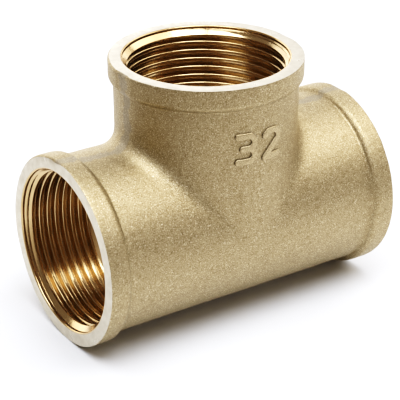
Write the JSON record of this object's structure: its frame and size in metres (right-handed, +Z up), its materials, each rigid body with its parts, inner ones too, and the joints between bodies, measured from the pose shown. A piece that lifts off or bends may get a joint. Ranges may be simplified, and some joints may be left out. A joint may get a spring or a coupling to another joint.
{
  "type": "pipe tee fitting",
  "caption": "Equal pipe tee: a straight run and a perpendicular branch, each end a female-threaded socket with a reinforcing collar.",
  "frame": {"origin": "on the plane the two run collars rest on, straight under the crossing of the run and branch axes", "axes": "+X along the run, towards the right socket; +Z up along the branch, out of its mouth; -Y is the marked front"},
  "size_m": [0.086, 0.0494, 0.0677],
  "materials": {
    "cast_brass": "matte",
    "machined_brass": "gloss"
  },
  "bodies": {
    "root": {"run_body": "cast_brass", "branch_body": "cast_brass", "branch_socket": "machined_brass", "right_socket": "machined_brass", "left_socket": "machined_brass", "size_digit_3": "cast_brass", "size_digit_2": "cast_brass"}
  },
  "joints": []
}
